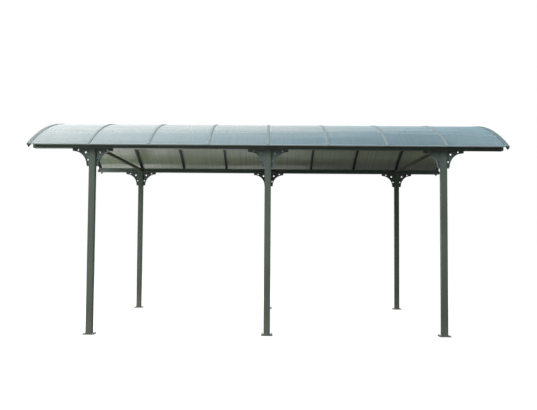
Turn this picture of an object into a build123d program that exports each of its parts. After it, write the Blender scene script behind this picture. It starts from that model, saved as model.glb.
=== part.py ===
from build123d import *
import os
from math import asin, cos, degrees, radians, sin, sqrt

# Arched carport. Z is up, X runs along the eaves, and the ground is Z = 0 at the middle.
# The roof is a part of a cylinder whose axis runs along X. All sizes are in millimetres.

# Roof
eave_half_width = 1500.0
eave_height = 2008.0
roof_rise = 425.0
rib_pitch = 630.0
end_bay = 605.0
sheet_thickness = 6.0
sheet_gap = 0.3

# Rib section
cap_width = 30.0
cap_thickness = 5.0
cap_chamfer = 2.5
web_width = 8.0
box_width = 28.0
box_depth = 36.0
box_past_beam = 50.0

# End arch section
arch_width = 40.0
arch_drop = 36.0
arch_cap = 3.0
arch_ledge = 15.0
arch_tip = 13.0

# Edging strip on the sheets
strip_wall = 1.6
strip_leg = 14.0
strip_gap = 0.05

# Eave beams
eave_overhang = 155.0
beam_width = 75.0
beam_height = 64.0
beam_flange_height = 16.0
beam_wall = 3.0
beam_end_inset = 10.0
end_plate = 2.0

# Posts
post_size = 68.0
post_wall = 2.5
post_land = 44.0
post_step = 1.5

# Foot plates
plate_size = 120.0
plate_thickness = 6.0
bolt_spacing = 96.0
bolt_hole = 9.0

# Corner brackets
bracket_reach = 184.0
bracket_drop = 192.0
bracket_radius = 150.0
bracket_arm = 28.0
bracket_corner_cut = 4.0
bracket_web = 10.0
bracket_rim_width = 44.0
bracket_rim = 5.0
bracket_hole_big = 22.0
bracket_hole_small = 17.0
bracket_hole_sides = 16
bracket_hole_far = 122.5
bracket_hole_middle = 42.0
bracket_hole_near = 17.0

# Cross ties
tie_size = 28.0
tie_rise = 38.0
tie_flange = 44.0
tie_flange_thickness = 5.0

# Worked out from the sizes above
roof_radius = (eave_half_width**2 + roof_rise**2) / (2 * roof_rise)
axis_height = eave_height + roof_rise - roof_radius
under_sheet = roof_radius - sheet_thickness
over_sheet = roof_radius + sheet_gap
rib_underside = under_sheet - box_depth
strip_over = roof_radius + strip_gap
strip_under = under_sheet - strip_gap
arch_inner_x = 3 * rib_pitch + end_bay
roof_half_length = arch_inner_x + arch_width
beam_half_length = roof_half_length - beam_end_inset
beam_outer_at = eave_half_width - eave_overhang
beam_inner_at = beam_outer_at - beam_width
post_x = 3 * rib_pitch
post_y = beam_outer_at - beam_width / 2
roof_axis = Axis((0, 0, axis_height), (1, 0, 0))

# Angles from the top of the roof, in degrees
eave_angle = degrees(asin(eave_half_width / roof_radius))
strip_angle = eave_angle - degrees(strip_leg / roof_radius)
sheet_angle = eave_angle - degrees((strip_wall + strip_gap) / roof_radius)
rib_angle = strip_angle - degrees(sheet_gap / roof_radius)
box_angle = degrees(asin((beam_outer_at + box_past_beam) / rib_underside))


def on_arc(radius, half_width):
    # Height of a circle on the roof axis at a distance from the middle.
    return axis_height + sqrt(radius**2 - half_width**2)


# Heights that follow the roof
beam_top = on_arc(rib_underside, beam_outer_at)
beam_bottom = beam_top - beam_height
tie_height = beam_bottom + tie_rise


def swept(points, half_angle):
    # A section given as (x, radius) points, turned about the roof axis to both sides.
    outline = [(x, axis_height + r) for x, r in points]
    face = make_face(Plane.XZ * Polyline(*outline, close=True))
    solid = revolve(face, axis=roof_axis, revolution_arc=2 * half_angle)
    return solid.rotate(roof_axis, -half_angle)


def along_x(points, x0, x1):
    # A section given as (y, z) points, run along X.
    face = make_face(Plane.YZ.offset(x0) * Polyline(*points, close=True))
    return extrude(face, amount=x1 - x0, dir=(1, 0, 0))


def at_angle(radius, angle):
    # A (y, z) point on a circle on the roof axis.
    a = radians(angle)
    return (radius * sin(a), axis_height + radius * cos(a))


def block(x0, x1, y0, y1, z0, z1):
    # A box between two corners.
    return Pos((x0 + x1) / 2, (y0 + y1) / 2, (z0 + z1) / 2) * Box(x1 - x0, y1 - y0, z1 - z0)


def save(node, *solids):
    # One file per named piece.
    shape = solids[0] if len(solids) == 1 else Compound(children=list(solids))
    export_step(shape, f"parts/{node}.step")


def roof_rib(x):
    # A box below the sheets, a web between them and a chamfered cap over their edges.
    box = box_width / 2
    web = web_width / 2
    cap = cap_width / 2
    cap_top = over_sheet + cap_thickness
    below = [
        (x - box, rib_underside),
        (x + box, rib_underside),
        (x + box, under_sheet),
        (x - box, under_sheet),
    ]
    above = [
        (x - web, under_sheet),
        (x + web, under_sheet),
        (x + web, over_sheet),
        (x + cap, over_sheet),
        (x + cap, cap_top - cap_chamfer),
        (x + cap - cap_chamfer, cap_top),
        (x - cap + cap_chamfer, cap_top),
        (x - cap, cap_top - cap_chamfer),
        (x - cap, over_sheet),
        (x - web, over_sheet),
    ]
    return swept(below, box_angle) + swept(above, rib_angle)


def end_arch():
    # The arch at the +X end: a three-cornered section with a ledge for the last sheet.
    x0 = arch_inner_x
    x1 = roof_half_length
    wall = x0 + arch_ledge
    section = [
        (x0, under_sheet),
        (x1 - arch_tip, under_sheet - arch_drop),
        (x1, under_sheet - sheet_thickness),
        (x1, over_sheet + arch_cap),
        (x0 + arch_cap, over_sheet + arch_cap),
        (x0 + arch_cap, over_sheet),
        (wall, over_sheet),
        (wall, under_sheet),
    ]
    return swept(section, eave_angle)


def roof_sheet(x0, x1):
    # One bent sheet between two ribs.
    section = [(x0, under_sheet), (x1, under_sheet), (x1, roof_radius), (x0, roof_radius)]
    return swept(section, sheet_angle)


def edge_strip():
    # A folded strip that closes the back edge of the sheets.
    inner = eave_angle - degrees(strip_wall / roof_radius)
    section = [
        at_angle(strip_under - strip_wall, strip_angle),
        at_angle(strip_under - strip_wall, eave_angle),
        at_angle(strip_over + strip_wall, eave_angle),
        at_angle(strip_over + strip_wall, strip_angle),
        at_angle(strip_over, strip_angle),
        at_angle(strip_over, inner),
        at_angle(strip_under, inner),
        at_angle(strip_under, strip_angle),
    ]
    return along_x(section, -arch_inner_x, arch_inner_x)


def eave_beam():
    # The back beam: an outer wall up to the ribs, a floor over the posts and a low inner flange.
    outer_inside = beam_outer_at - beam_wall
    inner_inside = beam_inner_at + beam_wall
    floor_top = beam_bottom + beam_wall
    flange_top = beam_bottom + beam_flange_height
    section = [
        (beam_inner_at, beam_bottom),
        (beam_outer_at, beam_bottom),
        (beam_outer_at, beam_top),
        (outer_inside, on_arc(rib_underside, outer_inside)),
        (outer_inside, floor_top),
        (inner_inside, floor_top),
        (inner_inside, flange_top),
        (beam_inner_at, flange_top),
    ]
    end = beam_half_length - end_plate
    return along_x(section, -end, end)


def beam_end():
    # The plate that closes the +X end of the back beam.
    section = [
        (beam_inner_at, beam_bottom),
        (beam_outer_at, beam_bottom),
        (beam_outer_at, beam_top),
        (beam_inner_at, beam_bottom + beam_flange_height),
    ]
    return along_x(section, beam_half_length - end_plate, beam_half_length)


def post(x, y):
    # A square tube with a raised land along the middle of each face.
    full = post_size / 2
    land = post_land / 2
    low = full - post_step
    z0 = plate_thickness
    z1 = beam_bottom
    body = block(x - low, x + low, y - low, y + low, z0, z1)
    body += block(x - full, x + full, y - land, y + land, z0, z1)
    body += block(x - land, x + land, y - full, y + full, z0, z1)
    hollow = low - post_wall
    return body - block(x - hollow, x + hollow, y - hollow, y + hollow, z0 - 1, z1 + 1)


def foot_plate(x, y):
    # A square plate with four anchor bolt holes.
    half = plate_size / 2
    plate = block(x - half, x + half, y - half, y + half, 0, plate_thickness)
    pitch = bolt_spacing / 2
    for dx in (-pitch, pitch):
        for dy in (-pitch, pitch):
            plate -= Pos(x + dx, y + dy, plate_thickness / 2) * Cylinder(bolt_hole / 2, 2 * plate_thickness)
    return plate


def corner_bracket():
    # One bracket on the +X side of a post face at the origin, with the beam at Z = 0.
    centre = bracket_arm + bracket_radius
    outline = [
        (0, 0),
        (bracket_reach, 0),
        (bracket_reach, bracket_corner_cut - bracket_arm),
        (bracket_reach - bracket_corner_cut, -bracket_arm),
        (centre, -bracket_arm),
        (centre, -centre),
        (bracket_arm, -centre),
        (bracket_arm, -bracket_drop),
        (0, -bracket_drop),
    ]
    face = make_face(Plane.XZ * Polyline(*outline, close=True))
    half = bracket_web / 2
    rim = bracket_rim_width / 2
    web = extrude(face, amount=half, both=True)
    middle = Pos(centre, 0, -centre) * Rot(90, 0, 0)
    bore = middle * Cylinder(bracket_radius, 2 * rim + 2)
    web -= bore
    for u, v, size in bracket_holes():
        hole = Plane.XZ * Pos(u, -v) * RegularPolygon(size / 2, bracket_hole_sides)
        web -= extrude(hole, amount=bracket_web, both=True)
    curve = middle * Cylinder(bracket_radius + bracket_rim, 2 * rim) - bore
    curve &= block(0, centre, -rim, rim, -centre, 0)
    top = block(0, bracket_reach, -rim, rim, -bracket_rim, 0)
    side = block(0, bracket_rim, -rim, rim, -bracket_drop, 0)
    return web + curve + top + side


def bracket_holes():
    # Distance from the post, distance below the beam, and diameter of each hole.
    far = bracket_hole_far
    near = bracket_hole_near
    middle = bracket_hole_middle
    small = bracket_hole_small
    return [(far, near, small), (middle, middle, bracket_hole_big), (near, far, small)]


def bracket_pair(x, y):
    # The two brackets of one post.
    right = Pos(x + post_size / 2, y, beam_bottom) * corner_bracket()
    left = right.mirror(Plane.YZ.offset(x))
    return left, right


def cross_tie(x):
    # A square bar from beam to beam, with a flange at each end.
    end = beam_outer_at - beam_wall
    half = tie_size / 2
    flange = tie_flange / 2
    bar = block(x - half, x + half, -end, end, tie_height - half, tie_height + half)
    for side in (-1, 1):
        y = side * (end - tie_flange_thickness / 2)
        bar += Pos(x, y, tie_height) * Box(tie_flange, tie_flange_thickness, tie_flange)
    return bar


def main():
    os.makedirs("parts", exist_ok=True)
    for row, y in (("front", -post_y), ("back", post_y)):
        for place, x in (("left", -post_x), ("middle", 0), ("right", post_x)):
            save(f"{row}_{place}_post", post(x, y))
            save(f"{row}_{place}_foot_plate", foot_plate(x, y))
            save(f"{row}_{place}_brackets", *bracket_pair(x, y))
    back_beam = eave_beam()
    save("back_eave_beam", back_beam)
    save("front_eave_beam", back_beam.mirror(Plane.XZ))
    plate = beam_end()
    back_ends = (plate, plate.mirror(Plane.YZ))
    save("back_beam_ends", *back_ends)
    save("front_beam_ends", *[end.mirror(Plane.XZ) for end in back_ends])
    back_strip = edge_strip()
    save("back_edge_strip", back_strip)
    save("front_edge_strip", back_strip.mirror(Plane.XZ))
    arch = end_arch()
    save("right_end_arch", arch)
    save("left_end_arch", arch.mirror(Plane.YZ))
    ribs = [rib_pitch * i for i in range(-3, 4)]
    for number, x in enumerate(ribs, start=1):
        save(f"roof_rib_{number}", roof_rib(x))
    last = arch_inner_x + arch_ledge - sheet_gap
    clear = web_width / 2 + sheet_gap
    starts = [-last] + [x + clear for x in ribs]
    ends = [x - clear for x in ribs] + [last]
    for number, (x0, x1) in enumerate(zip(starts, ends), start=1):
        save(f"roof_sheet_{number}", roof_sheet(x0, x1))
    for place, x in (("left", -post_x), ("middle", 0), ("right", post_x)):
        save(f"{place}_cross_tie", cross_tie(x))


main()
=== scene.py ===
import math

import bmesh
import bpy
from bpy.props import FloatProperty, FloatVectorProperty, IntProperty, PointerProperty
from mathutils import Matrix, Vector


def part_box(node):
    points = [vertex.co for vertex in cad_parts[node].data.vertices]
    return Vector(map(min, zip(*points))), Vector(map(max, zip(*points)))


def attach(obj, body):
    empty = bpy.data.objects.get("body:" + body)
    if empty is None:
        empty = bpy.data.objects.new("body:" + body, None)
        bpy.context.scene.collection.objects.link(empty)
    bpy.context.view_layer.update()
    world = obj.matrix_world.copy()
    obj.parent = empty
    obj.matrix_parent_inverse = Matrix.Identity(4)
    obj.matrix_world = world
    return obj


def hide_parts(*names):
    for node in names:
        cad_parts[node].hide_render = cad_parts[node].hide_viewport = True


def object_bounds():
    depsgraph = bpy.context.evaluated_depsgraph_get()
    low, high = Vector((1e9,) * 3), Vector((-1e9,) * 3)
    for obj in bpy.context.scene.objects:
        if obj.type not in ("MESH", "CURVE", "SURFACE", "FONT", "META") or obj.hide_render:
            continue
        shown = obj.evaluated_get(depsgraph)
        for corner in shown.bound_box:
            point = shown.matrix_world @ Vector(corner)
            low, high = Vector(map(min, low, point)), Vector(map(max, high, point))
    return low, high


bl_info = {
    "name": "Arched carport finish",
    "version": (1, 0, 0),
    "blender": (4, 5, 0),
    "location": "View3D > Sidebar > Carport",
    "description": "Dresses an arched carport with fluted sheets, fasteners and finishes",
    "category": "Object",
}

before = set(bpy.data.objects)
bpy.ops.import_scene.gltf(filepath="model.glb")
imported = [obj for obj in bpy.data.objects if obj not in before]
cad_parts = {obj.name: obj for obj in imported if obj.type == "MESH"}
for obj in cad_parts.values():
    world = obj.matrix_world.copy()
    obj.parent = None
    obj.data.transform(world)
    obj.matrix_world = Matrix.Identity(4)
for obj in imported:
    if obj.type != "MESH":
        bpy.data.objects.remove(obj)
cad_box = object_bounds()

ROOT = "root"
ROWS = ("front", "back")
PLACES = ("left", "middle", "right")
POSTS = [f"{row}_{place}" for row in ROWS for place in PLACES]
SIDES = (-1, 1)
RIBS = 7
SHEETS = 8
SHEET_THICKNESS = 0.006
X = Vector((1, 0, 0))
Y = Vector((0, 1, 0))
Z = Vector((0, 0, 1))

# Where an arm of a bracket has its screws, as shares of the arm's length
SCREW_SHARES = (0.36, 0.82)
# Size of a cross tie screw against a bracket screw
TIE_SCREW_SCALE = 0.6
# Rivets of a beam's end plate, outwards from its inner edge and up from its foot
END_RIVETS = ((0.01, 0.009), (0.066, 0.01), (0.066, 0.044))
# Angle between a rib's rivet and the end of the arc, in radians
RIB_RIVET_ANGLE = 0.03
# Cuts in each side of a weld, and how far its top edge reaches into the post's wall
WELD_CUTS = 23
WELD_OVERLAP = 0.001

# Each lamp's name, place, point aimed at, width and height, and power in watts
LAMPS = (
    ("key_lamp", (-8.0, -15.0, 8.0), (0, 0, 1.2), (7.0, 6.0), 1450.0),
    ("left_lamp", (-5.5, 1.0, 6.0), (-2.0, 0.5, 2.3), (5.0, 5.0), 430.0),
    ("back_lamp", (-3.4, 2.8, 3.8), (-2.3, 0.9, 2.25), (1.5, 1.5), 110.0),
    ("right_lamp", (10.0, 0.0, 10.0), (0.0, 0.0, 2.3), (5.0, 5.0), 400.0),
)


# Places read from the frame


def centre(node):
    """The middle of a node's box."""
    low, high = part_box(node)
    return (low + high) / 2


def roof_arc():
    """Radius, axis height and half angle of the sheets' outer face."""
    points = [v.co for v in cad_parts["roof_sheet_4"].data.vertices]
    crown = max(p.z for p in points)
    edge = max(points, key=lambda p: (round(p.y, 5), p.z))
    fall = crown - edge.z
    radius = (edge.y**2 + fall**2) / (2 * fall)
    return radius, crown - radius, math.asin(edge.y / radius)


def rib_spacing():
    """From one rib's middle to the next one's."""
    return centre("roof_rib_5").x - centre("roof_rib_4").x


# Small tools for modelling


def deselect():
    bpy.ops.object.select_all(action="DESELECT")


def edit(piece):
    deselect()
    piece.select_set(True)
    bpy.context.view_layer.objects.active = piece
    bpy.ops.object.mode_set(mode="EDIT")


def leave():
    bpy.ops.object.mode_set(mode="OBJECT")


def pick(piece, kind, test):
    """Selects what passes the test, in edit mode, as vertices, edges or faces."""
    bpy.ops.mesh.select_mode(type=kind)
    bpy.ops.mesh.select_all(action="DESELECT")
    mesh = bmesh.from_edit_mesh(piece.data)
    items = {"VERT": mesh.verts, "EDGE": mesh.edges, "FACE": mesh.faces}[kind]
    for item in items:
        if test(item):
            item.select_set(True)
    bmesh.update_edit_mesh(piece.data)


def faces_up(face):
    return face.normal.z > 0.9


def runs_along_x(line):
    return abs(line.verts[0].co.x - line.verts[1].co.x) > 1e-4


def is_level(line):
    return abs(line.verts[0].co.z - line.verts[1].co.z) < 1e-5


def prism(sides, radius, height, base=0.0):
    """A prism that stands at a height, in edit mode with its top face picked."""
    deselect()
    middle = (0, 0, base + height / 2)
    bpy.ops.mesh.primitive_cylinder_add(vertices=sides, radius=radius, depth=height, location=middle)
    piece = bpy.context.active_object
    edit(piece)
    pick(piece, "FACE", faces_up)
    return piece


def raise_face(rise, size):
    """Extrudes the picked faces upwards and scales their new end about the Z axis."""
    bpy.ops.mesh.extrude_region_move(TRANSFORM_OT_translate={"value": (0, 0, rise)})
    bpy.ops.transform.resize(value=(size, size, 1), center_override=(0, 0, 0))


def sink_face(rim, depth):
    """Leaves a rim round the picked face and pushes the rest down."""
    bpy.ops.mesh.inset(thickness=rim)
    bpy.ops.mesh.extrude_region_move(TRANSFORM_OT_translate={"value": (0, 0, -depth)})


def settle(piece):
    """Puts the piece's place, turn and scale into its mesh."""
    deselect()
    piece.select_set(True)
    bpy.context.view_layer.objects.active = piece
    bpy.ops.object.transform_apply(location=True, rotation=True, scale=True)


def copied(piece, name):
    twin = piece.copy()
    twin.data = piece.data.copy()
    twin.name = name
    bpy.context.scene.collection.objects.link(twin)
    return twin


def placed(master, place, direction):
    """A copy of a fastener that stands along +Z, turned to a direction and moved to a place."""
    twin = copied(master, master.name + "_copy")
    turn = Z.rotation_difference(Vector(direction)).to_matrix().to_4x4()
    twin.matrix_world = Matrix.Translation(place) @ turn
    return twin


def gathered(name, parts):
    """Joins the parts to one piece with its place in its mesh."""
    deselect()
    for part in parts:
        part.select_set(True)
    bpy.context.view_layer.objects.active = parts[0]
    if len(parts) > 1:
        bpy.ops.object.join()
    piece = bpy.context.view_layer.objects.active
    piece.name = name
    piece.data.name = name
    settle(piece)
    return piece


def drop(*pieces):
    for piece in pieces:
        mesh = piece.data
        bpy.data.objects.remove(piece)
        bpy.data.meshes.remove(mesh)


def smooth(piece, degrees=30):
    deselect()
    piece.select_set(True)
    bpy.context.view_layer.objects.active = piece
    bpy.ops.object.shade_smooth_by_angle(angle=math.radians(degrees))


def dress(piece, *materials):
    piece.data.materials.clear()
    for material in materials:
        piece.data.materials.append(material)


# Small tools for finishes


class Nodes:
    """The node tree of a material or a world, with a short call for each thing it needs."""

    def __init__(self, owner, coordinates="Object"):
        owner.use_nodes = True
        self.owner = owner
        self.tree = owner.node_tree
        self.tree.nodes.clear()
        self.place = self.add("ShaderNodeTexCoord").outputs[coordinates]

    def add(self, kind, **settings):
        made = self.tree.nodes.new(kind)
        for name, value in settings.items():
            setattr(made, name, value)
        return made

    def put(self, socket, value):
        if isinstance(value, bpy.types.NodeSocket):
            self.tree.links.new(value, socket)
        elif value is not None:
            socket.default_value = value

    def stretch(self, scale):
        """The piece's own coordinates, scaled along each axis."""
        made = self.add("ShaderNodeMapping")
        self.put(made.inputs["Vector"], self.place)
        self.put(made.inputs["Scale"], scale)
        return made.outputs["Vector"]

    def noise(self, scale, stretch=(1, 1, 1), detail=3.0, rough=0.55):
        made = self.add("ShaderNodeTexNoise")
        self.put(made.inputs["Vector"], self.stretch(stretch))
        self.put(made.inputs["Scale"], scale)
        self.put(made.inputs["Detail"], detail)
        self.put(made.inputs["Roughness"], rough)
        return made.outputs["Fac"]

    def maths(self, operation, a, b=None, clamp=False):
        made = self.add("ShaderNodeMath", operation=operation, use_clamp=clamp)
        self.put(made.inputs[0], a)
        self.put(made.inputs[1], b)
        return made.outputs[0]

    def span(self, value, low, high, to_low=0.0, to_high=1.0):
        """Maps a value between low and high to one between to_low and to_high, and clamps it there."""
        made = self.add("ShaderNodeMapRange")
        self.put(made.inputs["Value"], value)
        self.put(made.inputs["From Min"], low)
        self.put(made.inputs["From Max"], high)
        self.put(made.inputs["To Min"], to_low)
        self.put(made.inputs["To Max"], to_high)
        return made.outputs["Result"]

    def even(self, noise, to_low=0.0, to_high=1.0):
        """Spreads the values that a noise mostly has over a range."""
        return self.span(noise, 0.3, 0.7, to_low, to_high)

    def mottled(self, noise, rgb, dark, light):
        """A colour that wanders with a noise between a darker and a lighter shade."""
        return self.blend(self.even(noise), colour(rgb, dark), colour(rgb, light))

    def blend(self, share, a, b, kind="MIX"):
        made = self.add("ShaderNodeMix", data_type="RGBA", blend_type=kind)
        self.put(made.inputs["Factor"], share)
        self.put(made.inputs[6], a)
        self.put(made.inputs[7], b)
        return made.outputs[2]

    def level(self, share, a, b):
        """A number between two others."""
        made = self.add("ShaderNodeMix", data_type="FLOAT")
        self.put(made.inputs["Factor"], share)
        self.put(made.inputs[2], a)
        self.put(made.inputs[3], b)
        return made.outputs[0]

    def axis(self, name):
        made = self.add("ShaderNodeSeparateXYZ")
        self.put(made.inputs[0], self.place)
        return made.outputs[name]

    def bump(self, height, distance, strength):
        made = self.add("ShaderNodeBump")
        self.put(made.inputs["Height"], height)
        self.put(made.inputs["Distance"], distance)
        self.put(made.inputs["Strength"], strength)
        return made.outputs["Normal"]

    def finish(self, **sockets):
        shader = self.add("ShaderNodeBsdfPrincipled")
        for name, value in sockets.items():
            self.put(shader.inputs[name.replace("_", " ")], value)
        out = self.add("ShaderNodeOutputMaterial")
        self.tree.links.new(shader.outputs[0], out.inputs["Surface"])
        return self.owner


def colour(rgb, by):
    return (rgb[0] * by, rgb[1] * by, rgb[2] * by, 1.0)


def powder_coat(name, rgb, dust_and_light_tint=0.0, top=None, lip=0.012, gloss=0.15):
    """Satin powder coat with a faint orange peel and slow changes of shade.

    With dust_and_light_tint it takes a painted light tint by height, cooler high up and browner low down,
    and dusty speckles at the ground.
    With a top colour, which is painted light, the outside of the roof takes that colour, except a lip at
    each end, and the base colour under it stands as painted shade.
    """
    n = Nodes(bpy.data.materials.new(name))
    slow = n.noise(scale=2.4, detail=4.0)
    smears = n.noise(scale=14.0, detail=5.0)
    peel = n.noise(scale=900.0, detail=1.0)
    shade = n.mottled(slow, rgb, dark=0.9, light=1.1)
    if dust_and_light_tint:
        shade = dust_and_painted_light(n, shade, dust_and_light_tint)
    # Painted light: a paler top colour on the outside of the roof, over the base colour as painted shade
    if top:
        shade = n.blend(on_roof(n, lip), shade, n.mottled(slow, top, dark=0.9, light=1.1))
    return n.finish(
        Base_Color=shade,
        Roughness=n.even(smears, 0.36, 0.5),
        Normal=n.bump(peel, distance=0.0002, strength=0.25),
        Specular_IOR_Level=gloss,
        IOR=1.5,
    )


def dust_and_painted_light(n, shade, dust_and_light_tint):
    """Adds a painted light tint by height, cooler high up and browner low down, and dusty speckles near the
    ground.
    """
    cool = (1.04, 1.07, 1.15, 1.0)
    brown = (0.94, 0.84, 0.88, 1.0)
    dusty = (0.3, 0.29, 0.26, 1.0)
    height = n.axis("Z")
    # Painted light: a tint by height, cooler high up and browner low down, for the colour of the light
    # falling there
    painted_light_tint = n.blend(n.span(height, low=1.9, high=0.2), cool, brown)
    splashed = n.span(height, low=0.22, high=0.0)
    speckle = n.span(n.noise(scale=55.0, detail=6.0, rough=0.7), low=0.38, high=0.7)
    share = n.maths("MULTIPLY", n.maths("MULTIPLY", splashed, speckle), dust_and_light_tint)
    return n.blend(share, n.blend(1.0, shade, painted_light_tint, "MULTIPLY"), dusty)


def on_roof(n, lip):
    """1 outside the sheets' outer face and 0 elsewhere, and 0 too within a lip's width of the ends: where
    the painted lit top goes.
    """
    tolerance = 0.001
    radius, axis_height, _ = roof_arc()
    rise = n.maths("SUBTRACT", n.axis("Z"), axis_height)
    across = n.axis("Y")
    squares = n.maths("ADD", n.maths("MULTIPLY", rise, rise), n.maths("MULTIPLY", across, across))
    outside = n.maths("GREATER_THAN", n.maths("SQRT", squares), radius - tolerance)
    off_lips = n.maths("LESS_THAN", n.maths("ABSOLUTE", n.axis("X")), cad_box[1].x - lip)
    return n.maths("MULTIPLY", outside, off_lips)


def zinc(name):
    """Dull zinc plate with a fine spangle."""
    n = Nodes(bpy.data.materials.new(name))
    dull = (0.42, 0.42, 0.4, 1)
    bright = (0.66, 0.67, 0.66, 1)
    spangle = n.noise(scale=220.0, detail=4.0, rough=0.65)
    return n.finish(
        Base_Color=n.blend(n.even(spangle), dull, bright),
        Metallic=0.95,
        Roughness=n.even(spangle, 0.28, 0.5),
        Normal=n.bump(spangle, distance=0.0001, strength=0.4),
    )


def sheet_face(name, rgb, cell, rough, alpha, level, sheen, glow, streaks, low_right_painted_shade):
    """One face of a twin-wall sheet, with a line over each inner wall and streaks along the walls.

    Dust lies over it in a thin film. Painted shade darkens its low edges, more and more towards the right.
    """
    n = Nodes(bpy.data.materials.new(name))
    along = n.maths("FRACT", n.maths("DIVIDE", n.axis("X"), cell))
    off_middle = n.maths("ABSOLUTE", n.maths("SUBTRACT", along, 0.5))
    line = n.span(off_middle, low=0.36, high=0.5)
    uneven = n.noise(scale=1.0, stretch=(38.0, 0.01, 0.01), detail=3.0, rough=0.7)
    film = n.noise(scale=1.0, stretch=(1.6, 5.0, 5.0), detail=5.0)
    waves = n.noise(scale=1.0, stretch=(0.9, 7.0, 7.0), detail=0.0)
    shaded_low_edge = n.span(n.axis("Z"), low=2.2, high=2.13)
    shade_to_the_right = n.span(n.axis("X"), low=-1.0, high=1.0, to_high=low_right_painted_shade)
    streaked = n.span(uneven, low=0.34, high=0.66)
    dusted = n.span(film, low=0.35, high=0.75, to_high=0.25)
    shade = n.blend(streaked, colour(rgb, 1 - streaks), colour(rgb, 1 + streaks))
    shade = n.blend(n.maths("MULTIPLY", line, 0.35), shade, colour(rgb, 0.7))
    shade = n.blend(dusted, shade, colour(rgb, 1.45))
    # Painted shade: the low edges turn darker, more and more towards the right
    shade = n.blend(n.maths("MULTIPLY", shaded_low_edge, shade_to_the_right), shade, colour(rgb, 0.3))
    return n.finish(
        Base_Color=shade,
        Roughness=n.even(film, rough * 0.8, rough * 1.2),
        Alpha=n.maths("ADD", n.maths("MULTIPLY", line, 0.5 * (1 - alpha)), alpha, clamp=True),
        Normal=n.bump(waves, distance=0.014, strength=0.8),
        Specular_IOR_Level=level,
        IOR=1.58,
        Coat_Weight=sheen,
        Coat_Roughness=0.15,
        Coat_IOR=1.58,
        Subsurface_Weight=glow,
        Subsurface_Radius=(1.0, 1.0, 1.0),
        Subsurface_Scale=0.012,
    )


def folded_strip(name, rgb):
    """A thin strip, brushed along its length."""
    n = Nodes(bpy.data.materials.new(name))
    brushed = n.noise(scale=40.0, stretch=(1.0, 60.0, 60.0), detail=3.0)
    return n.finish(
        Base_Color=n.mottled(brushed, rgb, dark=0.9, light=1.08),
        Roughness=n.even(brushed, 0.3, 0.45),
        Normal=n.bump(brushed, distance=0.0001, strength=0.2),
    )


# What a user may change


class CarportSizes(bpy.types.PropertyGroup):
    """Sizes of the sheets, fasteners and welds"""

    flute_pitch: FloatProperty(
        name="Flute pitch",
        description="Distance between the inner walls of a sheet",
        default=0.0105,
        unit="LENGTH",
        precision=4,
    )
    flute_depth: FloatProperty(
        name="Flute depth",
        description="How far a sheet's faces sink over its inner walls",
        default=0.0002,
        unit="LENGTH",
        precision=4,
    )
    arc_steps: IntProperty(
        name="Arc steps",
        description="Faces along the bend of a sheet",
        default=40,
        min=12,
        max=96,
    )
    bolt_spacing: FloatProperty(
        name="Anchor spacing",
        description="Distance between the anchor bolts of a foot plate",
        default=0.096,
        unit="LENGTH",
    )
    bracket_rim: FloatProperty(
        name="Bracket rim",
        description="Thickness of a bracket's rim under the screws",
        default=0.005,
        unit="LENGTH",
    )
    screw_offset: FloatProperty(
        name="Screw offset",
        description="Distance of the bracket screws from the middle of the rim",
        default=0.014,
        unit="LENGTH",
    )
    tie_screw_inset: FloatProperty(
        name="Tie screw inset",
        description="Distance of a tie's screws from the edges of its flange",
        default=0.004,
        unit="LENGTH",
    )
    tie_flange: FloatProperty(
        name="Tie flange",
        description="Thickness of a tie's end flange under its screws",
        default=0.005,
        unit="LENGTH",
    )
    weld_leg: FloatProperty(
        name="Weld leg",
        description="Height of the weld seam round a post's foot",
        default=0.005,
        unit="LENGTH",
    )


class CarportColours(bpy.types.PropertyGroup):
    """Colours of the finishes"""

    coat: FloatVectorProperty(
        name="Coat",
        description="Powder coat of the frame",
        subtype="COLOR",
        default=(0.118, 0.145, 0.117),
    )
    coat_eaves: FloatVectorProperty(
        name="Eaves coat",
        description="Powder coat of the eave beams and brackets",
        subtype="COLOR",
        default=(0.14, 0.178, 0.165),
    )
    coat_ties: FloatVectorProperty(
        name="Tie coat",
        description="Powder coat of the cross ties",
        subtype="COLOR",
        default=(0.17, 0.205, 0.17),
    )
    # Painted light: the rib and arch tops are paler and bluer than the coat, as if lit from the sky
    rib_top_painted_light: FloatVectorProperty(
        name="Rib tops",
        description="Upper faces of the ribs",
        subtype="COLOR",
        default=(0.25, 0.3, 0.308),
    )
    arch_top_painted_light: FloatVectorProperty(
        name="End arch tops",
        description="Upper faces of the end arches",
        subtype="COLOR",
        default=(0.19, 0.225, 0.22),
    )
    # Painted shade: the lower faces of ribs and arches are near black, as if in shade under the roof
    rib_inside_painted_shade: FloatVectorProperty(
        name="Rib insides",
        description="Lower faces of the ribs and end arches",
        subtype="COLOR",
        default=(0.045, 0.055, 0.048),
    )
    sheet_outside: FloatVectorProperty(
        name="Sheet outside",
        description="Weather face of the sheets",
        subtype="COLOR",
        default=(0.195, 0.24, 0.255),
    )
    sheet_inside: FloatVectorProperty(
        name="Sheet inside",
        description="Lower face of the sheets",
        subtype="COLOR",
        default=(0.333, 0.39, 0.297),
    )
    strip: FloatVectorProperty(
        name="Edging",
        description="Folded strip along the sheets",
        subtype="COLOR",
        default=(0.3, 0.34, 0.34),
    )


class CarportStage(bpy.types.PropertyGroup):
    """The camera and the floor"""

    camera_place: FloatVectorProperty(
        name="Camera place",
        description="Where the camera stands",
        subtype="TRANSLATION",
        default=(0.0332, -8.282, 1.0445),
    )
    pitch: FloatProperty(
        name="Pitch",
        description="How far the camera looks up",
        default=0.0491,
        subtype="ANGLE",
    )
    yaw: FloatProperty(
        name="Yaw",
        description="How far the camera looks to the right",
        default=-0.0034,
        subtype="ANGLE",
    )
    roll: FloatProperty(
        name="Roll",
        description="Turn of the camera about its own line",
        default=0.0068,
        subtype="ANGLE",
    )
    lens: FloatProperty(name="Lens", description="Focal length in millimetres", default=43.57)
    floor_size: FloatProperty(
        name="Floor",
        description="Width of the floor",
        default=160.0,
        unit="LENGTH",
    )


# Pieces


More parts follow.
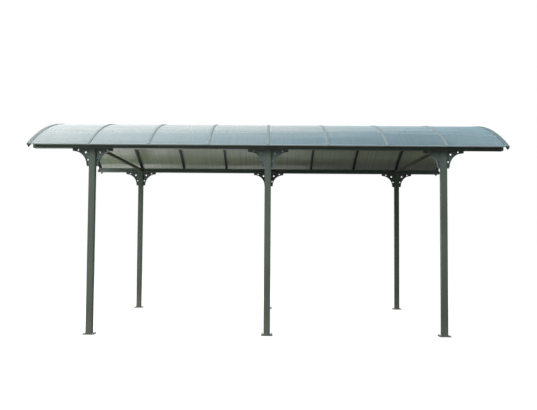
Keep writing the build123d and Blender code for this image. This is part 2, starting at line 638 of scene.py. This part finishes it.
class CARPORT_OT_finishes(bpy.types.Operator):
    """Give the frame's own parts their finishes"""

    bl_idname = "carport.finishes"
    bl_label = "Finishes"

    def execute(self, context):
        tints = context.scene.carport_colours
        coat = powder_coat("satin_coat", tints.coat)
        # Painted light on the tops and painted shade on the lower faces of the ribs and end arches
        ribs = powder_coat("satin_coat_ribs_painted_light_and_shade", tints.rib_inside_painted_shade, top=tints.rib_top_painted_light)
        arches = powder_coat("satin_coat_arches_painted_light_and_shade", tints.rib_inside_painted_shade, top=tints.arch_top_painted_light, lip=0.004)
        # Painted light by height on the posts and foot plates, with dusty speckles at the ground
        foot = powder_coat("satin_coat_low", tints.coat, dust_and_light_tint=0.5)
        eaves = powder_coat("satin_coat_eaves", tints.coat_eaves)
        ties = powder_coat("satin_coat_ties", tints.coat_ties, gloss=0.0)
        strip = folded_strip("edging_strip", tints.strip)
        finishes = {
            "post": foot,
            "foot_plate": foot,
            "edge_strip": strip,
            "beam": eaves,
            "brackets": eaves,
            "rib": ribs,
            "arch": arches,
            "tie": ties,
        }
        for name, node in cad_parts.items():
            made = next((finish for word, finish in finishes.items() if word in name), coat)
            for place in node.material_slots:
                place.material = made
        return {"FINISHED"}


class CARPORT_OT_sheets(bpy.types.Operator):
    """Make the fluted twin-wall sheets between the ribs"""

    bl_idname = "carport.sheets"
    bl_label = "Sheets"

    def execute(self, context):
        sizes = context.scene.carport_sizes
        tints = context.scene.carport_colours
        outside = sheet_face(
            "sheet_outside",
            tints.sheet_outside,
            sizes.flute_pitch,
            rough=0.14,
            alpha=0.8,
            level=1.0,
            sheen=1.0,
            glow=0.6,
            streaks=0.1,
            low_right_painted_shade=0.0,
        )
        inside = sheet_face(
            "sheet_inside",
            tints.sheet_inside,
            sizes.flute_pitch,
            rough=0.45,
            alpha=0.9,
            level=0.7,
            sheen=0.25,
            glow=0.9,
            streaks=0.28,
            # Painted shade on the low edges of the lower face, growing towards the right
            low_right_painted_shade=0.45,
        )
        master = self.full_sheet(sizes)
        dress(master, outside, inside)
        pitch = rib_spacing()
        for number in range(1, SHEETS + 1):
            node = f"roof_sheet_{number}"
            sheet = copied(master, f"fluted_sheet_{number}")
            sheet.location.x = (number - (SHEETS + 1) / 2) * pitch
            settle(sheet)
            low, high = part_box(node)
            self.trim(sheet, low.x, high.x)
            self.two_faces(sheet)
            smooth(sheet)
            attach(sheet, ROOT)
            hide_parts(node)
        drop(master)
        return {"FINISHED"}

    @staticmethod
    def full_sheet(sizes):
        """A sheet from rib line to rib line, with a shallow valley over each inner wall."""
        near_wall = 0.1  # in flutes
        radius, axis_height, half_angle = roof_arc()
        middle = axis_height + radius - SHEET_THICKNESS / 2
        pitch = rib_spacing()
        flutes = round(pitch / sizes.flute_pitch)
        upright = (math.pi / 2, 0, 0)
        deselect()
        bpy.ops.mesh.primitive_plane_add(size=1, location=(0, 0, middle), rotation=upright)
        sheet = bpy.context.active_object
        sheet.scale = (pitch, SHEET_THICKNESS, 1)
        settle(sheet)
        edit(sheet)
        for cuts in (flutes - 1, 2):
            pick(sheet, "EDGE", runs_along_x)
            bpy.ops.mesh.subdivide(number_cuts=cuts)
        for side in SIDES:

            def in_valley(v):
                along = (v.co.x / pitch + 0.5) * flutes
                off_wall = abs(along - round(along))
                return off_wall < near_wall and (v.co.z - middle) * side > 0

            pick(sheet, "VERT", in_valley)
            bpy.ops.transform.translate(value=(0, 0, -side * sizes.flute_depth))
        bpy.ops.mesh.select_all(action="SELECT")
        pivot = (0, 0, axis_height)
        bpy.ops.transform.rotate(value=half_angle, orient_axis="X", center_override=pivot)
        turned = bmesh.from_edit_mesh(sheet.data).verts
        turned.ensure_lookup_table()
        way = -1 if turned[0].co.y > 0 else 1
        bpy.ops.mesh.spin(steps=sizes.arc_steps, angle=way * 2 * half_angle, center=pivot, axis=X)
        bpy.ops.mesh.select_all(action="SELECT")
        bpy.ops.mesh.normals_make_consistent(inside=False)
        leave()
        return sheet

    @staticmethod
    def trim(sheet, low, high):
        """Cuts the sheet off outside two places along X and closes the cut ends."""
        edit(sheet)
        for at, way in ((low, -1), (high, 1)):
            bpy.ops.mesh.select_all(action="SELECT")
            bpy.ops.mesh.bisect(plane_co=(at, 0, 0), plane_no=(way, 0, 0), use_fill=True, clear_outer=True)
        leave()

    @staticmethod
    def two_faces(sheet):
        """The weather face takes the first finish, and all the rest the second."""
        axis_height = roof_arc()[1]
        for face in sheet.data.polygons:
            outwards = Vector((0, face.center.y, face.center.z - axis_height)).normalized()
            face.material_index = 0 if face.normal.dot(outwards) > 0.5 else 1


def anchor():
    """A washer, a chamfered hex nut and the end of a threaded stud, on a plate at height 0."""
    washer = prism(sides=24, radius=0.0095, height=0.0012)
    raise_face(rise=0.0004, size=0.94)
    leave()
    nut = prism(sides=6, radius=0.0068, height=0.005, base=0.0016)
    raise_face(rise=0.0009, size=0.86)
    sink_face(rim=0.0014, depth=0.0006)
    leave()
    stud = prism(sides=16, radius=0.0038, height=0.009, base=0.0013)
    groove = 0.9
    for size in (groove, 1 / groove, groove, 1 / groove, 0.86):
        raise_face(rise=0.0006, size=size)
    leave()
    made = gathered("anchor", [washer, nut, stud])
    smooth(made, degrees=35)
    return made


def flange_screw():
    """A hex head screw with a round flange, standing on height 0."""
    flange = prism(sides=16, radius=0.0062, height=0.0008)
    raise_face(rise=0.0006, size=0.86)
    leave()
    head = prism(sides=6, radius=0.0046, height=0.0028, base=0.0012)
    raise_face(rise=0.0005, size=0.84)
    sink_face(rim=0.0012, depth=0.0004)
    leave()
    made = gathered("flange_screw", [flange, head])
    smooth(made, degrees=35)
    return made


def dome_rivet():
    """A low domed rivet head, standing on height 0."""
    rivet = prism(sides=16, radius=0.0048, height=0.0006)
    for rise, size in ((0.0005, 0.9), (0.0005, 0.78), (0.0003, 0.6)):
        raise_face(rise, size)
    sink_face(rim=0.0005, depth=0.0004)
    leave()
    made = gathered("dome_rivet", [rivet])
    smooth(made, degrees=40)
    return made


def finish_piece(piece, material):
    """Gives a piece its finish and its body."""
    dress(piece, material)
    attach(piece, ROOT)


class CARPORT_OT_anchors(bpy.types.Operator):
    """Set four anchor bolts on each foot plate"""

    bl_idname = "carport.anchors"
    bl_label = "Anchor bolts"

    def execute(self, context):
        half = context.scene.carport_sizes.bolt_spacing / 2
        metal = zinc("zinc_plate")
        master = anchor()
        for name in POSTS:
            node = f"{name}_foot_plate"
            middle, top = centre(node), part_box(node)[1].z
            parts = [
                placed(master, Vector((middle.x + dx * half, middle.y + dy * half, top)), Z)
                for dx in SIDES
                for dy in SIDES
            ]
            finish_piece(gathered(f"{name}_anchor_bolts", parts), metal)
        drop(master)
        return {"FINISHED"}


class CARPORT_OT_welds(bpy.types.Operator):
    """Run a weld seam round the foot of each post"""

    bl_idname = "carport.welds"
    bl_label = "Foot welds"

    def execute(self, context):
        leg = context.scene.carport_sizes.weld_leg
        coat = bpy.data.materials["satin_coat_low"]
        low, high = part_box("front_left_post")
        post_width = high.x - low.x
        width = post_width + 2 * leg
        deselect()
        bpy.ops.mesh.primitive_cube_add(size=1)
        master = bpy.context.active_object
        master.scale = (width, width, leg)
        settle(master)
        edit(master)
        pick(master, "EDGE", is_level)
        bpy.ops.mesh.subdivide(number_cuts=WELD_CUTS)
        pick(master, "FACE", faces_up)
        size = (post_width - 2 * WELD_OVERLAP) / width
        bpy.ops.transform.resize(value=(size, size, 1), center_override=(0, 0, 0))
        leave()
        for name in POSTS:
            post = f"{name}_post"
            middle, foot = centre(post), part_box(post)[0].z
            at = Vector((middle.x, middle.y, foot + leg / 2))
            piece = gathered(f"{name}_foot_weld", [placed(master, at, Z)])
            finish_piece(piece, coat)
        drop(master)
        return {"FINISHED"}


class CARPORT_OT_bracket_screws(bpy.types.Operator):
    """Screw the corner brackets to the posts and to the eave beams"""

    bl_idname = "carport.bracket_screws"
    bl_label = "Bracket screws"

    def execute(self, context):
        sizes = context.scene.carport_sizes
        coat = bpy.data.materials["satin_coat"]
        master = flange_screw()
        for name in POSTS:
            parts = self.screws(master, name, sizes)
            finish_piece(gathered(f"{name}_bracket_screws", parts), coat)
        drop(master)
        return {"FINISHED"}

    @staticmethod
    def screws(master, name, sizes):
        """Pairs of screws through the rims of both brackets, into the beam and into the post."""
        low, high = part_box(name + "_brackets")
        post_low, post_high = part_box(name + "_post")
        middle = (post_low.y + post_high.y) / 2
        parts = []
        for side, face, end in ((-1, post_low.x, low.x), (1, post_high.x, high.x)):
            for share in SCREW_SHARES:
                for across in SIDES:
                    x = face + (end - face) * share
                    y = middle + across * sizes.screw_offset
                    z = high.z - (high.z - low.z) * share
                    on_beam = Vector((x, y, high.z - sizes.bracket_rim))
                    on_post = Vector((face + side * sizes.bracket_rim, y, z))
                    parts.append(placed(master, on_beam, -Z))
                    parts.append(placed(master, on_post, X * side))
        return parts


class CARPORT_OT_tie_screws(bpy.types.Operator):
    """Screw the end flanges of the cross ties to the eave beams"""

    bl_idname = "carport.tie_screws"
    bl_label = "Cross tie screws"

    def execute(self, context):
        sizes = context.scene.carport_sizes
        coat = bpy.data.materials["satin_coat"]
        master = flange_screw()
        master.scale = (TIE_SCREW_SCALE, TIE_SCREW_SCALE, TIE_SCREW_SCALE)
        settle(master)
        for place in PLACES:
            low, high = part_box(f"{place}_cross_tie")
            middle = (low + high) / 2
            off = (high.x - low.x) / 2 - sizes.tie_screw_inset
            parts = []
            for side, y in ((-1, high.y - sizes.tie_flange), (1, low.y + sizes.tie_flange)):
                for dx in SIDES:
                    for dz in SIDES:
                        at = Vector((middle.x + dx * off, y, middle.z + dz * off))
                        parts.append(placed(master, at, Y * side))
            finish_piece(gathered(f"{place}_cross_tie_screws", parts), coat)
        drop(master)
        return {"FINISHED"}


class CARPORT_OT_rivets(bpy.types.Operator):
    """Rivet the beam end plates and the ends of the rib caps"""

    bl_idname = "carport.rivets"
    bl_label = "Rivets"

    def execute(self, context):
        coat = bpy.data.materials["satin_coat"]
        master = dome_rivet()
        for row, way in (("front", -1), ("back", 1)):
            low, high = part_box(f"{row}_beam_ends")
            inner = min(abs(low.y), abs(high.y))
            parts = []
            for side, x in ((-1, low.x), (1, high.x)):
                for across, up in END_RIVETS:
                    at = Vector((x, way * (inner + across), low.z + up))
                    parts.append(placed(master, at, X * side))
            finish_piece(gathered(f"{row}_beam_end_rivets", parts), coat)
        radius, axis_height, half_angle = roof_arc()
        for number in range(1, RIBS + 1):
            low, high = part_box(f"roof_rib_{number}")
            parts = []
            for side in SIDES:
                angle = side * (half_angle - RIB_RIVET_ANGLE)
                out = Vector((0, math.sin(angle), math.cos(angle)))
                at = Vector(((low.x + high.x) / 2, 0, axis_height)) + out * (high.z - axis_height)
                parts.append(placed(master, at, out))
            finish_piece(gathered(f"roof_rib_{number}_rivets", parts), coat)
        drop(master)
        return {"FINISHED"}


class CARPORT_OT_stage(bpy.types.Operator):
    """Lay the floor, hang the lamps and set the camera"""

    bl_idname = "carport.stage"
    bl_label = "Stage"

    def execute(self, context):
        stage = context.scene.carport_stage
        context.scene.view_settings.view_transform = "Standard"
        self.floor(stage)
        self.sky(context)
        for lamp in LAMPS:
            self.lamp(context, *lamp)
        self.camera(context, stage)
        return {"FINISHED"}

    @staticmethod
    def floor(stage):
        """White where it is seen, brown for the light it sends up, and for gloss brightest at the left."""
        deselect()
        bpy.ops.mesh.primitive_plane_add(size=stage.floor_size)
        floor = bpy.context.active_object
        floor.name = "floor"
        n = Nodes(bpy.data.materials.new("floor"))
        pale_brown = (0.23, 0.2, 0.17, 1)
        dark_brown = (0.11, 0.095, 0.08, 1)
        aside = n.axis("X")
        path = n.add("ShaderNodeLightPath")
        glossy = path.outputs["Is Glossy Ray"]
        seen = n.maths("MAXIMUM", path.outputs["Is Camera Ray"], glossy)
        seen = n.maths("MAXIMUM", seen, path.outputs["Is Transmission Ray"])
        bounce = n.blend(n.span(aside, low=-2.5, high=1.5), pale_brown, dark_brown)
        mirrored_grey = n.span(aside, low=0.4, high=1.0, to_low=0.3, to_high=0.1)
        grey = n.level(glossy, 0.3, mirrored_grey)
        diffuse = n.add("ShaderNodeBsdfDiffuse")
        n.put(diffuse.inputs["Color"], n.blend(seen, bounce, grey))
        left = n.span(aside, low=-2.1, high=-1.75, to_low=1.35, to_high=0.0)
        dip = n.span(aside, low=-1.3, high=-0.9, to_low=-0.45, to_high=0.0)
        middle = n.span(aside, low=0.4, high=1.0, to_low=0.6, to_high=0.0)
        mirrored_glow = n.maths("ADD", n.maths("ADD", left, dip), middle)
        strength = n.level(glossy, 0.86, mirrored_glow)
        glow = n.add("ShaderNodeEmission")
        n.put(glow.inputs["Color"], (1, 1, 1, 1))
        n.put(glow.inputs["Strength"], n.maths("MULTIPLY", seen, strength))
        both = n.add("ShaderNodeAddShader")
        n.put(both.inputs[0], diffuse.outputs[0])
        n.put(both.inputs[1], glow.outputs[0])
        out = n.add("ShaderNodeOutputMaterial")
        n.put(out.inputs["Surface"], both.outputs[0])
        dress(floor, n.owner)

    @staticmethod
    def sky(context):
        """White where it is seen, and for gloss a pale horizon under a bluer sky that dims to the right."""
        world = bpy.data.worlds.new("studio")
        context.scene.world = world
        n = Nodes(world, "Generated")
        white = (1, 1, 1, 1)
        pale = (0.94, 1.0, 0.99, 1)
        sky_blue = (0.5, 0.83, 1.0, 1)
        path = n.add("ShaderNodeLightPath")
        aside = n.axis("X")
        upwards = n.span(n.axis("Z"), low=0.5, high=0.75)
        behind = n.span(n.axis("Y"), low=-0.15, high=0.15)
        horizon = n.span(aside, low=-0.35, high=0.35, to_low=1.25, to_high=0.65)
        zenith_left = n.span(aside, low=-0.35, high=0.2, to_low=1.5, to_high=0.5)
        zenith_right = n.span(aside, low=0.22, high=0.36, to_high=0.3)
        zenith = n.maths("ADD", zenith_left, zenith_right)
        gloss = n.level(behind, 0.55, n.level(upwards, horizon, zenith))
        soft = n.span(aside, low=-0.7, high=0.7, to_low=0.85, to_high=0.35)
        strength = n.level(path.outputs["Is Glossy Ray"], soft, gloss)
        blue_low = n.span(aside, low=0.0, high=0.3, to_high=0.85)
        blue_high = n.span(aside, low=-0.35, high=0.1)
        blue = n.maths("MULTIPLY", n.level(upwards, blue_low, blue_high), behind)
        seen = n.maths("MAXIMUM", path.outputs["Is Camera Ray"], path.outputs["Is Transmission Ray"])
        back = n.add("ShaderNodeBackground")
        n.put(back.inputs["Color"], n.blend(seen, n.blend(blue, pale, sky_blue), white))
        n.put(back.inputs["Strength"], n.level(seen, strength, 1.0))
        n.put(n.add("ShaderNodeOutputWorld").inputs["Surface"], back.outputs[0])

    @staticmethod
    def lamp(context, name, place, aim, size, power):
        """An area lamp that the camera and glossy faces don't show."""
        data = bpy.data.lights.new(name, "AREA")
        data.shape = "RECTANGLE"
        data.size, data.size_y = size
        data.energy = power
        lamp = bpy.data.objects.new(name, data)
        context.scene.collection.objects.link(lamp)
        lamp.location = place
        lamp.rotation_euler = (Vector(aim) - Vector(place)).to_track_quat("-Z", "Y").to_euler()
        lamp.visible_camera = False
        lamp.visible_glossy = False

    @staticmethod
    def camera(context, stage):
        """A camera turned to the right, then up, then about its own line."""
        forward = Vector(
            (
                math.sin(stage.yaw) * math.cos(stage.pitch),
                math.cos(stage.yaw) * math.cos(stage.pitch),
                math.sin(stage.pitch),
            )
        )
        level = Vector((math.cos(stage.yaw), -math.sin(stage.yaw), 0))
        upright = level.cross(forward)
        right = math.cos(stage.roll) * level + math.sin(stage.roll) * upright
        up = math.cos(stage.roll) * upright - math.sin(stage.roll) * level
        data = bpy.data.cameras.new("camera")
        data.lens = stage.lens
        data.sensor_width = 36.0
        data.clip_end = 400.0
        camera = bpy.data.objects.new("camera", data)
        context.scene.collection.objects.link(camera)
        turn = Matrix((right, up, -forward)).transposed().to_4x4()
        camera.matrix_world = Matrix.Translation(stage.camera_place) @ turn
        context.scene.camera = camera


class CARPORT_PT_panel(bpy.types.Panel):
    """Sizes, colours and steps of the carport's finish"""

    bl_idname = "CARPORT_PT_panel"
    bl_label = "Carport"
    bl_space_type = "VIEW_3D"
    bl_region_type = "UI"
    bl_category = "Carport"

    def draw(self, context):
        scene = context.scene
        for group in (scene.carport_sizes, scene.carport_colours, scene.carport_stage):
            box = self.layout.box()
            for name in type(group).__annotations__:
                box.prop(group, name)
        steps = self.layout.column(align=True)
        for step in STEPS:
            steps.operator(step.bl_idname)


STEPS = (
    CARPORT_OT_finishes,
    CARPORT_OT_sheets,
    CARPORT_OT_anchors,
    CARPORT_OT_welds,
    CARPORT_OT_bracket_screws,
    CARPORT_OT_tie_screws,
    CARPORT_OT_rivets,
    CARPORT_OT_stage,
)
GROUPS = (CarportSizes, CarportColours, CarportStage)


def register():
    for made in (*GROUPS, *STEPS, CARPORT_PT_panel):
        bpy.utils.register_class(made)
    bpy.types.Scene.carport_sizes = PointerProperty(type=CarportSizes)
    bpy.types.Scene.carport_colours = PointerProperty(type=CarportColours)
    bpy.types.Scene.carport_stage = PointerProperty(type=CarportStage)


def unregister():
    del bpy.types.Scene.carport_sizes
    del bpy.types.Scene.carport_colours
    del bpy.types.Scene.carport_stage
    for made in reversed((*GROUPS, *STEPS, CARPORT_PT_panel)):
        bpy.utils.unregister_class(made)


def main():
    register()
    bpy.ops.carport.finishes()
    bpy.ops.carport.sheets()
    bpy.ops.carport.anchors()
    bpy.ops.carport.welds()
    bpy.ops.carport.bracket_screws()
    bpy.ops.carport.tie_screws()
    bpy.ops.carport.rivets()
    bpy.ops.carport.stage()


if __name__ == "__main__":
    main()
